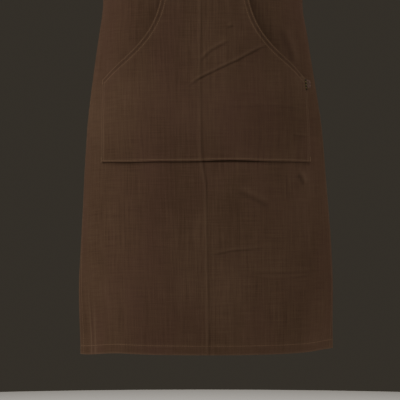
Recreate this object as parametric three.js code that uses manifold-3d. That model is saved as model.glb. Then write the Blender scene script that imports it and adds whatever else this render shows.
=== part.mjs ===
// A butcher's apron as it hangs on its wearer: bib, skirt, kangaroo pocket, neck strap and waist ties.
// Millimetres, +Z up. The front of the apron faces -Y and the wearer's back is towards +Y.
// The origin is where the neck strap bears on the nape of the neck.
import * as THREE from 'three';
import Module from 'manifold-3d';

// ---- Driving dimensions -------------------------------------------------------------------------

// Cloth
const canvas = 0.9; // thickness of the canvas
const gap = 0.3; // clearance between two pieces
const seamGap = 0.45; // clearance between two layers of a seam
const strapGap = 0.8; // the same where a flat strap lies on the curve of the cloth
const skirtWidth = 600; // finished, measured round the body
const skirtLength = 640; // hem to waist corner
const bibWidth = 250;
const bibLength = 260;
const armholePower = 2.2; // how late the armhole curve sweeps out to the waist
const bottomHem = 18;
const sideHem = 16;
const bibHem = 20;
const facingWidth = 11; // bias strips behind the curved edges

// Pocket
const pocketFoot = 340; // height of its bottom edge above the apron's hem
const pocketWidth = 406;
const pocketShift = 3; // how far its middle lies to the right of the apron's
const pocketSide = 144; // height of its straight sides
const pocketHeight = 315;
const pocketTopWidth = 152;
const scoopPower = 2.6; // how deep the hand openings are scooped
const pocketPuff = 12; // how far the pocket stands off the skirt between its seams
const pocketFade = 58; // from a seam to where the pocket stands off fully
const tackLength = 9;
const tackWidth = 2.2;
const accentLength = 19; // the dark tack at the foot of the right hand opening
const accentWidth = 6.2;
const tackThickness = 0.8;
const tabWidth = 14;
const tabHeight = 14;

// Neck strap and its metalwork
const napeAboveBib = 205;
const strapWidth = 25;
const strapThickness = 1.6;
const strapMargin = 1.5; // between the armhole facing and the strap's edge
const strapOverlap = 46; // sewn behind the bib
const wire = 3; // diameter of the ring's and the slider's wire
const ringAbove = 12; // from the bib's top edge to the ring's lower bar
const ringHeight = 15; // between the middles of its two bars
const sliderAbove = 80; // from the bib's top edge to the slider's middle
const sliderHeight = 19; // between the middles of its two end bars
const sliderRise = 24; // how far the slider can run up the strap's straight stretch
const wireClearance = 1.2; // from the strap's edge to the wire beside it

// Waist ties
const tieWidth = 28;
const tieThickness = 1.8;
const tieOverlap = 38; // sewn behind the side hem
const tieBelowCorner = 26; // from the waist corner to the middle of the tie
const waistDepth = 240; // front to back, over the ties
const knotSize = [34, 26, 36];
const knotPinch = 0.55; // share of their width that the straps keep where they enter the knot
const loopReach = 92;
const loopSag = 34;
const tailLengths = { left: 296, right: 268 };

const patchSize = 40;
const labelSize = [34, 46];
const labelAbove = 250; // above the hem

// ---- Derived sizes ------------------------------------------------------------------------------

const halfSkirt = skirtWidth / 2;
const halfBib = bibWidth / 2;
const bibTop = skirtLength + bibLength; // heights are measured up from the hem
const hemZ = -(bibTop + napeAboveBib);
const layer = canvas + seamGap; // from one layer of a seam to the next
const pocketTop = pocketFoot + pocketHeight;
const tieHeight = skirtLength - tieBelowCorner;
const strapAt = halfBib - facingWidth - strapMargin - strapWidth / 2;
// From the bib's top edge to where the strap bends over the shoulder, clear of the raised slider.
const strapStraight = sliderAbove + sliderRise + (sliderHeight + 3 * wire) / 2;

// ---- The drape ----------------------------------------------------------------------------------

// Values by height above the hem. Between two stations the value runs on a smooth curve.
// The stations are for an apron whose waist and bib top are at these heights, and are spread out
// or drawn together for any other.
const stationWaist = 640;
const stationTop = 900;
const frontLine = [[0, -216], [300, -220], [500, -218], [640, -205], [760, -198], [840, -196], [900, -196]];
const edgeTurn = [
  [0, 83], [120, 81], [200, 83], [300, 87], [400, 92],
  [465, 97.5], [570, 110.5], [640, 118], [780, 96], [900, 80],
];
const flareLeft = [[0, 34], [110, 24], [220, 0], [900, 0]];
const flareRight = [[0, 20], [50, 8], [110, 0], [900, 0]];
const centreLine = [[0, 3.5], [340, 0], [640, -3.5], [900, 0]];
const turnPower = 1.5; // the cloth is flattest at the front and turns faster towards its edges
const flareFrom = 0.74; // share of the half width where a free edge starts to flare
const turnBeforeFlare = 1 / 3; // how much further round the cloth goes first, for each degree of flare
const edgeDrop = 11; // the left edge of the skirt hangs this much lower than its middle

function smoothStep(x) {
  const t = THREE.MathUtils.clamp(x, 0, 1);
  return t * t * (3 - 2 * t);
}

// A cubic through the stations, level at the first and last of them.
function atHeight(stations, height) {
  const last = stations.length - 1;
  const onStations = height <= skirtLength
    ? (height * stationWaist) / skirtLength
    : stationWaist + ((height - skirtLength) * (stationTop - stationWaist)) / bibLength;
  const scaled = THREE.MathUtils.clamp(onStations, stations[0][0], stations[last][0]);
  let i = 0;
  while (i < last - 1 && scaled > stations[i + 1][0]) i += 1;
  const slope = (k) => {
    if (k === 0 || k === last) return 0;
    return (stations[k + 1][1] - stations[k - 1][1]) / (stations[k + 1][0] - stations[k - 1][0]);
  };
  const [h0, v0] = stations[i];
  const [h1, v1] = stations[i + 1];
  const span = h1 - h0;
  const t = (scaled - h0) / span;
  const t2 = t * t;
  const t3 = t2 * t;
  return (2 * t3 - 3 * t2 + 1) * v0 + (t3 - 2 * t2 + t) * span * slope(i)
    + (3 * t2 - 2 * t3) * v1 + (t3 - t2) * span * slope(i + 1);
}

// How far the cloth has turned from facing forward, in radians, at a distance from its middle.
function turnAt(distance, height, flare) {
  const share = distance / halfSkirt;
  const edge = atHeight(edgeTurn, height) + turnBeforeFlare * flare;
  const flared = flare * smoothStep((share - flareFrom) / (1 - flareFrom));
  return THREE.MathUtils.degToRad(edge * share ** turnPower - flared);
}

// A point of the cloth's middle surface. across runs round the body from the middle (left is
// negative) and height runs up from the hem.
function clothPoint(across, height) {
  const side = across < 0 ? -1 : 1;
  const distance = Math.abs(across);
  const flare = atHeight(side < 0 ? flareLeft : flareRight, height);
  const steps = 24;
  const step = distance / steps;
  let x = 0;
  let y = 0;
  for (let i = 0; i < steps; i += 1) {
    const turn = turnAt((i + 0.5) * step, height, flare);
    x += Math.cos(turn) * step;
    y += Math.sin(turn) * step;
  }
  const leftShare = side < 0 ? smoothStep((2 * distance) / halfSkirt - 1) : 0;
  const drop = edgeDrop * leftShare * (1 - smoothStep(height / skirtLength));
  return new THREE.Vector3(
    atHeight(centreLine, height) + side * x,
    atHeight(frontLine, height) + y,
    hemZ + height - drop,
  );
}

// A point at lift outside the cloth's middle surface, with the outward normal there.
function onCloth(across, height, lift = 0) {
  const probe = 0.5;
  const right = clothPoint(across + probe, height).sub(clothPoint(across - probe, height));
  const up = clothPoint(across, height + probe).sub(clothPoint(across, height - probe));
  const normal = right.cross(up).normalize();
  return { point: clothPoint(across, height).addScaledVector(normal, lift), normal };
}

// Half the width of the apron at a height.
function halfWidthAt(height) {
  if (height <= skirtLength) return halfSkirt;
  const share = Math.max(0, bibTop - height) / bibLength;
  return halfBib + (halfSkirt - halfBib) * share ** armholePower;
}

// Half the width of the pocket at a height.
function halfPocketAt(height) {
  const scoop = pocketHeight - pocketSide;
  const share = THREE.MathUtils.clamp((pocketTop - height) / scoop, 0, 1);
  return (pocketTopWidth + (pocketWidth - pocketTopWidth) * share ** scoopPower) / 2;
}

// How far the middle of the pocket's cloth stands out from the middle of the skirt's cloth.
function pocketLift(across, height) {
  const foot = smoothStep((height - pocketFoot) / pocketFade);
  const top = smoothStep((pocketTop - height) / pocketFade);
  const side = smoothStep((pocketWidth / 2 - Math.abs(across - pocketShift)) / pocketFade);
  return 2 * layer + pocketPuff * foot * top * side;
}

// ---- Solids -------------------------------------------------------------------------------------

function solid(positions, triangles) {
  const geometry = new THREE.BufferGeometry();
  geometry.setAttribute('position', new THREE.Float32BufferAttribute(positions, 3));
  geometry.setIndex(triangles);
  return geometry;
}

// A closed sheet over a grid: place(i, j) gives its middle surface at column i and row j.
// Seen from outside, columns run to the right and rows run up.
function sheet(columns, rows, thickness, place) {
  const positions = [];
  const triangles = [];
  const quad = (a, b, c, d) => triangles.push(a, b, c, a, c, d);
  const count = (columns + 1) * (rows + 1);
  const outer = (i, j) => j * (columns + 1) + i;
  const inner = (i, j) => count + outer(i, j);
  for (const side of [0.5, -0.5]) {
    for (let j = 0; j <= rows; j += 1) {
      for (let i = 0; i <= columns; i += 1) {
        const { point, normal } = place(i, j);
        positions.push(...point.clone().addScaledVector(normal, side * thickness).toArray());
      }
    }
  }
  for (let j = 0; j < rows; j += 1) {
    for (let i = 0; i < columns; i += 1) {
      quad(outer(i, j), outer(i + 1, j), outer(i + 1, j + 1), outer(i, j + 1));
      quad(inner(i, j), inner(i, j + 1), inner(i + 1, j + 1), inner(i + 1, j));
    }
  }
  for (let i = 0; i < columns; i += 1) {
    quad(outer(i, 0), inner(i, 0), inner(i + 1, 0), outer(i + 1, 0));
    quad(outer(i, rows), outer(i + 1, rows), inner(i + 1, rows), inner(i, rows));
  }
  for (let j = 0; j < rows; j += 1) {
    quad(outer(0, j), outer(0, j + 1), inner(0, j + 1), inner(0, j));
    quad(outer(columns, j), inner(columns, j), inner(columns, j + 1), outer(columns, j + 1));
  }
  return solid(positions, triangles);
}

// A strap along stations of { point, normal, width }. Its faces look along the normals.
function strap(stations, width, thickness) {
  const path = stations.map((station) => station.point);
  return sheet(1, stations.length - 1, thickness, (i, k) => {
    const along = path[Math.min(k + 1, path.length - 1)].clone().sub(path[Math.max(k - 1, 0)]);
    const { point, normal } = stations[k];
    const right = along.clone().cross(normal).normalize();
    const level = right.clone().cross(along).normalize();
    const half = (stations[k].width ?? width) / 2;
    return { point: point.clone().addScaledVector(right, (2 * i - 1) * half), normal: level };
  });
}

// Round wire along points: a closed ring, or an open length with flat ends.
function wireAlong(points, closed) {
  const sides = 10;
  const positions = [];
  const triangles = [];
  const count = points.length;
  const at = (k) => points[closed ? (k + count) % count : THREE.MathUtils.clamp(k, 0, count - 1)];
  const plane = at(1).clone().sub(at(0)).cross(at(2).clone().sub(at(1))).normalize();
  for (let k = 0; k < count; k += 1) {
    const along = at(k + 1).clone().sub(at(k - 1)).normalize();
    const out = plane.clone().cross(along).normalize();
    for (let i = 0; i < sides; i += 1) {
      const angle = (2 * Math.PI * i) / sides;
      const spoke = out.clone().multiplyScalar(Math.cos(angle)).addScaledVector(plane, Math.sin(angle));
      positions.push(...at(k).clone().addScaledVector(spoke, wire / 2).toArray());
    }
  }
  for (let k = 0; k < (closed ? count : count - 1); k += 1) {
    for (let i = 0; i < sides; i += 1) {
      const a = k * sides + i;
      const b = k * sides + ((i + 1) % sides);
      const c = ((k + 1) % count) * sides + ((i + 1) % sides);
      const d = ((k + 1) % count) * sides + i;
      triangles.push(a, b, c, a, c, d);
    }
  }
  if (!closed) {
    const end = (count - 1) * sides;
    for (let i = 1; i < sides - 1; i += 1) {
      triangles.push(0, i + 1, i);
      triangles.push(end, end + i, end + i + 1);
    }
  }
  return solid(positions, triangles);
}

const wasm = await Module();
wasm.setup();

// One solid from two that overlap.
function joined(first, second) {
  const { Manifold, Mesh } = wasm;
  const body = ({ attributes, index }) => new Manifold(new Mesh({
    numProp: 3,
    vertProperties: new Float32Array(attributes.position.array),
    triVerts: new Uint32Array(index.array),
  }));
  const mesh = body(first).add(body(second)).getMesh();
  return solid(Array.from(mesh.vertProperties), Array.from(mesh.triVerts));
}

// ---- Materials ----------------------------------------------------------------------------------

function finish(color, roughness, metalness = 0) {
  return () => new THREE.MeshStandardMaterial({ color, roughness, metalness });
}
const canvasFinish = finish(0x4a3526, 0.92);
const facingFinish = finish(0x3f2e22, 0.92);
const webbingFinish = finish(0x46321f, 0.9);
const darkThread = finish(0x14110e, 0.7);
const lightThread = finish(0x8a7256, 0.8);
const labelFinish = finish(0xcfc7b4, 0.85);
const metalFinish = finish(0x8a6a3a, 0.4, 1);

const apron = new THREE.Group();

function add(name, geometry, material) {
  const mesh = new THREE.Mesh(geometry, material());
  mesh.name = name;
  apron.add(mesh);
  return mesh;
}

// ---- Laying cloth on the drape ------------------------------------------------------------------

// Layers that lie on each other share their rows and columns, so that their facets stay parallel.
function spread(from, to, count) {
  return Array.from({ length: count + 1 }, (_, k) => from + ((to - from) * k) / count);
}

const columnMarks = spread(-halfSkirt, halfSkirt, 40);
const easyRows = skirtLength * 0.75; // below this the drape changes slowly
const rowMarks = [
  0,
  ...spread(bottomHem, easyRows, 9),
  ...spread(easyRows, skirtLength, 4).slice(1),
  ...spread(0, 1, 16).slice(1).map((share) => skirtLength + bibLength * share ** 1.4),
];

// Both limits and every mark well between them.
function between(low, high, marks) {
  const clear = 1;
  return [low, ...marks.filter((mark) => mark > low + clear && mark < high - clear), high];
}

// Cloth over rows at heights. acrossAt(i, height) places its columns.
function lay(name, material, heights, columns, acrossAt, lift, thickness = canvas) {
  add(name, sheet(columns, heights.length - 1, thickness, (i, j) => {
    const across = acrossAt(i, heights[j]);
    return onCloth(across, heights[j], typeof lift === 'function' ? lift(across, heights[j]) : lift);
  }), material);
}

// A rectangle of cloth between two limits each way.
function patch(name, material, [left, right], [low, high], lift, thickness = canvas) {
  const columns = between(left, right, columnMarks);
  const rows = between(low, high, rowMarks);
  lay(name, material, rows, columns.length - 1, (i) => columns[i], lift, thickness);
}

// How far a strip of the facing's width reaches across, behind an edge that slants. edge(height) is
// that edge's distance from the middle.
function facingReach(edge, height) {
  const probe = 0.5;
  const slope = (edge(height + probe) - edge(height - probe)) / (2 * probe);
  return facingWidth * Math.hypot(1, slope);
}

// middle is where the piece that it binds has its own middle.
function addFacing(name, sign, heights, edge, lift, middle = 0) {
  lay(name, facingFinish, heights, 1, (i, height) => {
    const inside = edge(height) - facingReach(edge, height);
    return middle + (sign < 0 ? [-edge(height), -inside][i] : [inside, edge(height)][i]);
  }, lift);
}

const sides = [{ side: 'left', sign: -1 }, { side: 'right', sign: 1 }];
const ordered = (a, b) => (a < b ? [a, b] : [b, a]);

// ---- Body of the apron --------------------------------------------------------------------------

function addBodyPanel() {
  const columns = columnMarks.length - 1;
  lay('body_panel', canvasFinish, rowMarks, columns, (i, height) => (
    ((2 * i) / columns - 1) * halfWidthAt(height)
  ), 0);
}

function addHems() {
  patch('bottom_hem', canvasFinish, [-halfSkirt, halfSkirt], [0, bottomHem], -layer);
  const inset = facingWidth + 2 * gap;
  patch('bib_top_hem', canvasFinish, [inset - halfBib, halfBib - inset], [bibTop - bibHem, bibTop],
    -layer);
  for (const { side, sign } of sides) {
    patch(`side_hem_${side}`, canvasFinish, ordered(sign * halfSkirt, sign * (halfSkirt - sideHem)),
      [bottomHem + gap, skirtLength - facingWidth], -layer);
    const heights = between(skirtLength + facingWidth, bibTop, rowMarks);
    addFacing(`armhole_facing_${side}`, sign, heights, halfWidthAt, -layer - gap);
  }
}

function addPatchesAndLabel() {
  for (const { side, sign } of sides) {
    const bibOut = halfBib - facingWidth - 2 * gap;
    patch(`bib_patch_${side}`, facingFinish, ordered(sign * bibOut, sign * (bibOut - patchSize)),
      [bibTop - bibHem - gap - patchSize, bibTop - bibHem - gap], -layer);
    const waistOut = halfSkirt - sideHem - gap;
    patch(`waist_patch_${side}`, facingFinish, ordered(sign * waistOut, sign * (waistOut - patchSize)),
      [tieHeight - patchSize / 2, tieHeight + patchSize / 2], -layer);
  }
  const [labelWidth, labelHeight] = labelSize;
  const labelEdge = -(halfSkirt - sideHem - gap);
  patch('care_label', labelFinish, [labelEdge, labelEdge + labelWidth],
    [labelAbove, labelAbove + labelHeight], -layer, canvas / 2);
}

// ---- Pocket -------------------------------------------------------------------------------------

const shoulder = pocketFoot + pocketSide; // where the straight sides end and the openings start
const scoopRows = spread(shoulder, pocketTop - facingWidth, 10);
const pocketRows = [
  ...spread(pocketFoot, pocketFoot + pocketFade, 4),
  ...spread(pocketFoot + pocketFade, shoulder, 3).slice(1),
  ...scoopRows.slice(1),
  pocketTop,
];
const pocketColumns = 16;

// The first and last columns lie on the pocket's edges and the next ones on its facings' inner edges.
function pocketAcross(i, height) {
  const edge = halfPocketAt(height);
  if (i === 0) return pocketShift - edge;
  if (i === pocketColumns) return pocketShift + edge;
  const inside = edge - facingReach(halfPocketAt, height);
  return pocketShift + ((2 * (i - 1)) / (pocketColumns - 2) - 1) * inside;
}

function addPocket() {
  lay('pocket_panel', canvasFinish, pocketRows, pocketColumns, pocketAcross, pocketLift);
  const under = (across, height) => pocketLift(across, height) - layer;
  for (const { side, sign } of sides) {
    addFacing(`pocket_facing_${side}`, sign, scoopRows, halfPocketAt, under, pocketShift);
  }
  lay('pocket_top_hem', canvasFinish, [pocketTop - facingWidth + gap, pocketTop], pocketColumns - 2,
    (i, height) => pocketAcross(i + 1, height), under);
}

function addTacksAndTab() {
  const seat = canvas / 2 + 2 * gap + tackThickness / 2;
  const on = (across, height) => pocketLift(across, height) + seat;
  const edge = pocketWidth / 2 - tackWidth - gap;
  const topEdge = pocketTopWidth / 2 - gap;
  for (const { side, sign } of sides) {
    const tack = (name, material, across, heights) => {
      const limits = ordered(...across.map((x) => pocketShift + sign * x));
      patch(name, material, limits, heights, on, tackThickness);
    };
    tack(`foot_tack_${side}`, lightThread, [edge, edge + tackWidth],
      [pocketFoot + gap, pocketFoot + gap + tackLength]);
    tack(`top_tack_${side}`, lightThread, [topEdge - tackLength, topEdge],
      [pocketTop - gap - tackWidth, pocketTop - gap]);
    const [material, width, length] = side === 'right'
      ? [darkThread, accentWidth, accentLength] : [lightThread, tackWidth, tackLength];
    tack(`opening_tack_${side}`, material, [pocketWidth / 2 - gap - width, pocketWidth / 2 - gap],
      [shoulder - length - gap, shoulder - gap]);
  }
  const tabFrom = pocketShift + pocketWidth / 2 + 2 * gap;
  patch('corner_tab', labelFinish, [tabFrom, tabFrom + tabWidth],
    [shoulder - tabHeight - 2 * gap, shoulder - 2 * gap], layer);
}

// ---- Neck strap ---------------------------------------------------------------------------------

const strapLift = -(layer + canvas / 2 + strapGap + strapThickness / 2);
const wrap = wire / 2 + gap + strapThickness / 2; // from a wire's middle to a strap round it

// A point of the strap's front stretch, which lies on the bib and then rises straight up. above is
// measured from the bib's top edge, and out from the strap's main run towards the front.
function onStraight(sign, above, out = 0) {
  if (above < 0) return onCloth(sign * strapAt, bibTop + above, strapLift + out);
  const { point, normal } = onCloth(sign * strapAt, bibTop);
  normal.setZ(0).normalize();
  point.addScaledVector(normal, strapLift + out);
  return { point: point.setZ(point.z + above), normal };
}

// A strap's turn round a wire, from the run in front of it, down under it and up behind it.
// Normals look away from the wire. up is 1 for a turn over the wire's top.
function turnRound(sign, barAbove, up) {
  const steps = 6;
  return Array.from({ length: steps + 1 }, (_, k) => {
    const angle = (Math.PI * k) / steps;
    const station = onStraight(sign, barAbove + up * wrap * Math.sin(angle), wrap * (Math.cos(angle) - 1));
    const outward = station.normal.clone().multiplyScalar(Math.cos(angle));
    outward.z = up * Math.sin(angle);
    return { point: station.point, normal: outward };
  });
}

// The strap over the right shoulder, from the straight stretch to the nape: points and the way out
// from the body at each.
const shoulderRoute = [
  { point: [101, -166, -62], normal: [0.32, -0.72, 0.62] },
  { point: [90, -128, -38], normal: [0.38, -0.36, 0.85] },
  { point: [77, -84, -22], normal: [0.58, -0.04, 0.81] },
  { point: [62, -44, -11], normal: [0.8, 0.22, 0.55] },
  { point: [43, -15, -3], normal: [0.64, 0.72, 0.27] },
  { point: [20, strapThickness / 2, 0], normal: [0, 1, 0] },
];

function shoulderStations(sign) {
  const start = onStraight(sign, strapStraight);
  const lower = onStraight(sign, strapStraight - 15);
  const mirror = ([x, y, z]) => new THREE.Vector3(sign * x, y, z);
  const nape = { point: mirror([0, strapThickness / 2, 0]), normal: mirror([0, 1, 0]) };
  const route = shoulderRoute.map(({ point, normal }) => (
    { point: mirror(point), normal: mirror(normal) }
  ));
  const keys = [lower, start, ...route, nape];
  const points = new THREE.CatmullRomCurve3(keys.map((key) => key.point), false, 'centripetal');
  const normals = new THREE.CatmullRomCurve3(keys.map((key) => key.normal), false, 'centripetal');
  const perKey = 4;
  const steps = perKey * (keys.length - 1);
  const stations = [];
  for (let k = perKey; k <= steps - perKey; k += 1) {
    stations.push({ point: points.getPoint(k / steps), normal: normals.getPoint(k / steps).normalize() });
  }
  return stations;
}

function addNeckStrap() {
  const barAbove = ringAbove + ringHeight;
  const settled = gap + strapThickness; // the return layer lies this far behind the main run
  const sewn = spread(-strapOverlap, 0, 3).map((above) => onStraight(-1, above));
  const left = [...sewn, ...shoulderStations(-1)];
  const right = [...shoulderStations(1).reverse(), onStraight(1, barAbove + 8)];
  const turn = turnRound(1, barAbove, -1);
  const behind = onStraight(1, barAbove + 12, -settled - gap);
  behind.normal.negate();
  add('neck_strap', strap([...left, ...right, ...turn, behind], strapWidth, strapThickness), webbingFinish);

  // The return layer goes on up, over the slider's middle bar from the front, and down behind it.
  const sliderOut = -settled - gap - wrap;
  const over = turnRound(1, sliderAbove, 1).map(({ point, normal }) => (
    { point: point.addScaledVector(onStraight(1, 0).normal, sliderOut + wrap), normal }
  ));
  const foot = onStraight(1, barAbove + 12 + 2 * gap, -settled - gap);
  const tailEnd = onStraight(1, sliderAbove - 12, sliderOut - wrap);
  tailEnd.normal.negate();
  add('neck_strap_return', strap([foot, ...over, tailEnd], strapWidth, strapThickness), webbingFinish);

  const tabTurn = turnRound(1, ringAbove, 1);
  const tabFront = spread(-strapOverlap, 0, 3).map((above) => onStraight(1, above));
  const tabBack = spread(-6, -strapOverlap, 3).map((above) => {
    const station = onStraight(1, above, -settled - gap);
    station.normal.negate();
    return station;
  });
  add('ring_tab', strap([...tabFront, ...tabTurn, ...tabBack], strapWidth, strapThickness), webbingFinish);

  const halfRing = strapWidth / 2 + wireClearance + wire / 2;
  const ring = roundedLoop(halfRing, ringHeight / 2, ringAbove + ringHeight / 2, -wrap);
  add('strap_ring', wireAlong(ring, true), metalFinish);
  addSlider(halfRing, sliderOut);
}

// A rectangle of wire with round corners, standing across the strap's straight stretch.
function roundedLoop(halfWidth, halfHeight, above, out) {
  const { normal } = onStraight(1, 0);
  const acrossWay = new THREE.Vector3(-normal.y, normal.x, 0);
  const corner = wire;
  const points = [];
  const arc = 4;
  for (const [cx, cz, from] of [[1, 1, 0], [-1, 1, 1], [-1, -1, 2], [1, -1, 3]]) {
    for (let k = 0; k <= arc; k += 1) {
      const angle = ((from + k / arc) * Math.PI) / 2;
      const across = cx * (halfWidth - corner) + corner * Math.cos(angle);
      const up = cz * (halfHeight - corner) + corner * Math.sin(angle);
      points.push(onStraight(1, above + up, out).point.addScaledVector(acrossWay, across));
    }
  }
  return points;
}

// The slider's frame lies in front of the main run. Its middle bar steps back behind that run,
// and the return layer is sewn round it.
function addSlider(halfWidth, barOut) {
  const { normal } = onStraight(1, 0);
  const acrossWay = new THREE.Vector3(-normal.y, normal.x, 0);
  const frameOut = strapThickness / 2 + gap + wire / 2;
  const frame = wireAlong(roundedLoop(halfWidth, sliderHeight / 2, sliderAbove, frameOut), true);
  const corner = wire * 0.6;
  const route = [[1, frameOut], [1, barOut + corner]];
  for (let k = 1; k < 4; k += 1) {
    const angle = (k * Math.PI) / 8;
    route.push([1 - (corner * (1 - Math.cos(angle))) / halfWidth, barOut + corner * (1 - Math.sin(angle))]);
  }
  route.push([1 - corner / halfWidth, barOut]);
  const whole = [...route, ...[...route].reverse().map(([share, out]) => [-share, out])];
  const bar = wireAlong(whole.map(([share, out]) => (
    onStraight(1, sliderAbove, out).point.addScaledVector(acrossWay, share * halfWidth)
  )), false);
  add('neck_slider', joined(frame, bar), metalFinish);
}

// ---- Waist ties ---------------------------------------------------------------------------------

const tieLift = -(layer + canvas / 2 + strapGap + tieThickness / 2);
const knotCentre = new THREE.Vector3(
  atHeight(centreLine, tieHeight),
  atHeight(frontLine, tieHeight) + waistDepth,
  hemZ + tieHeight,
);

// The knot is a squashed ball. At a distance behind or before its middle, its half size shrinks to this.
function knotReach(halfSize, back) {
  return halfSize * Math.sqrt(1 - (back / (knotSize[1] / 2)) ** 2);
}

function tieStations(sign) {
  const sewn = [];
  for (let k = 0; k <= 4; k += 1) {
    sewn.push(onCloth(sign * (halfSkirt - tieOverlap + (tieOverlap * k) / 4), tieHeight, tieLift));
  }
  const edge = sewn[sewn.length - 1];
  const heading = new THREE.Vector3(-edge.normal.y * sign, edge.normal.x * sign, 0);
  const intoKnot = tieThickness - knotSize[1] / 4;
  const knotEnd = knotCentre.clone();
  knotEnd.x += sign * (knotReach(knotSize[0] / 2, intoKnot + tieThickness / 2) + gap);
  knotEnd.y += intoKnot;
  const bend = 84;
  const reach = new THREE.CubicBezierCurve3(
    edge.point,
    edge.point.clone().addScaledVector(heading, bend),
    knotEnd.clone().setX(knotEnd.x + sign * bend),
    knotEnd,
  );
  const round = [];
  const steps = 10;
  for (let k = 1; k <= steps; k += 1) {
    const along = reach.getTangent(k / steps);
    const normal = new THREE.Vector3(along.y * sign, -along.x * sign, 0).normalize();
    const width = tieWidth * THREE.MathUtils.lerp(1, knotPinch, smoothStep((2 * k) / steps - 1));
    round.push({ point: reach.getPoint(k / steps), normal, width });
  }
  return [...sewn, ...round];
}

function addTies() {
  for (const { side, sign } of sides) {
    add(`waist_tie_${side}`, strap(tieStations(sign), tieWidth, tieThickness), canvasFinish);
    addBowLoop(side, sign);
    addTail(side, sign);
  }
  const ball = new THREE.SphereGeometry(0.5, 14, 10);
  ball.deleteAttribute('normal');
  ball.deleteAttribute('uv');
  ball.scale(...knotSize);
  add('bow_knot', ball, canvasFinish).position.copy(knotCentre);
}

// A bow loop: the strap goes out from the knot, folds back on itself and comes in behind.
function addBowLoop(side, sign) {
  const fold = 5;
  const start = knotCentre.clone();
  start.x += sign * (knotSize[0] / 2 + gap);
  start.y += 2;
  const end = start.clone();
  end.x += sign * loopReach;
  end.z -= loopSag;
  const stations = [];
  const steps = 5;
  const push = (share, back, nx, ny) => {
    const point = start.clone().lerp(end, share);
    point.z = start.z - loopSag * share ** 1.5;
    point.y += back;
    const width = THREE.MathUtils.lerp(knotPinch, 1, smoothStep(share * 2)) * tieWidth;
    stations.push({ point, normal: new THREE.Vector3(nx * sign, ny, 0), width });
  };
  for (let k = 0; k <= steps; k += 1) push(k / steps, 0, 0, -1);
  for (let k = 1; k < 4; k += 1) {
    const angle = (Math.PI * k) / 4;
    const out = Math.sin(angle);
    push(1 + (fold * out) / loopReach, fold * (1 - Math.cos(angle)), out, -Math.cos(angle));
  }
  for (let k = steps; k >= 0; k -= 1) push(k / steps, 2 * fold, 0, 1);
  add(`bow_loop_${side}`, strap(stations, tieWidth, tieThickness), canvasFinish);
}

// A tail hangs straight down from a point just under the knot, where it swings.
function tailPivot(side) {
  const back = side === 'left' ? -8.5 : -5;
  const point = knotCentre.clone();
  point.x += side === 'left' ? -6 : 6;
  point.y += back;
  point.z -= knotReach(knotSize[2] / 2, back) + 4;
  return point;
}

function addTail(side) {
  const pivot = tailPivot(side);
  const shape = [[3, 5], [-5, 9], [-30, tieWidth], [-tailLengths[side], tieWidth]];
  const stations = shape.reverse().map(([up, width]) => (
    { point: pivot.clone().setZ(pivot.z + up), normal: new THREE.Vector3(0, -1, 0), width }
  ));
  add(`tie_tail_${side}`, strap(stations, tieWidth, tieThickness), canvasFinish);
}

addBodyPanel();
addHems();
addPatchesAndLabel();
addPocket();
addTacksAndTab();
addNeckStrap();
addTies();

export default apron;
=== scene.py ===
# %% [markdown]
# A butcher's apron hanging from its neck strap: heavy brown canvas with a bib, a kangaroo
# pocket and waist ties knotted behind. The CAD frame is loaded first. It holds every piece at
# its true size and place.

# %% The CAD frame
import math
import bpy
import numpy as np
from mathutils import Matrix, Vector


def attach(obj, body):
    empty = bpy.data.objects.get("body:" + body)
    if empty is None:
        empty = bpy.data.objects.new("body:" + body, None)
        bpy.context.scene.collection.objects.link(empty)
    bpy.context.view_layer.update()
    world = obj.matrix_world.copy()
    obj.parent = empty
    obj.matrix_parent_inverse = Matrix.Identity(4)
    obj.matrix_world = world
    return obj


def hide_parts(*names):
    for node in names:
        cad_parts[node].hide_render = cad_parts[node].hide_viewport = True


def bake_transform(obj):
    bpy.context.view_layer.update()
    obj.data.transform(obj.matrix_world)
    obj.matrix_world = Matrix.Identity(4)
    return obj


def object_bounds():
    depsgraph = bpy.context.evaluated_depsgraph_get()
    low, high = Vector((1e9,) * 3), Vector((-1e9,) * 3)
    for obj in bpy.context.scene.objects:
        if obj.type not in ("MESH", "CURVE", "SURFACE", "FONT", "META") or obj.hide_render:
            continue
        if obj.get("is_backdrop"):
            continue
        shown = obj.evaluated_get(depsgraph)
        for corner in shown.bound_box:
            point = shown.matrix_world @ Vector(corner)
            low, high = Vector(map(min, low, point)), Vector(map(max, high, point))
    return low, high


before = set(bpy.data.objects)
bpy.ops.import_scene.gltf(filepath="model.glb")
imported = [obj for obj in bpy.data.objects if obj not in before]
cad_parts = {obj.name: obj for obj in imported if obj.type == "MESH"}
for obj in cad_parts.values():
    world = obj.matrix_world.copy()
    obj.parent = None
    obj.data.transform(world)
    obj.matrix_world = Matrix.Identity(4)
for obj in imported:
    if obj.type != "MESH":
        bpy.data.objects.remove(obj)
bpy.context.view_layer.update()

MM = 0.001
ROOT = "apron"


def add_object(name, data):
    made = bpy.data.objects.new(name, data)
    bpy.context.scene.collection.objects.link(made)
    return made


# %% [markdown]
# The camera is about three metres in front of the skirt and level with a point just under the
# pocket. Its long lens keeps the upright edges of the apron straight.

# %% Camera
CAMERA_PLACE = (-8.75, -3217, -833)
FIELD_AT_FRONT = 700  # width in view at the front of the skirt
DISTANCE_TO_FRONT = 3000
SENSOR = 36

camera_data = bpy.data.cameras.new("studio_camera")
camera = add_object("studio_camera", camera_data)
camera.location = [v * MM for v in CAMERA_PLACE]
camera.rotation_euler = (math.radians(90), 0, 0)
camera_data.sensor_width = SENSOR
camera_data.lens = SENSOR * DISTANCE_TO_FRONT / FIELD_AT_FRONT
bpy.context.scene.camera = camera
print("lens", round(camera_data.lens, 1), "mm")

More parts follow.
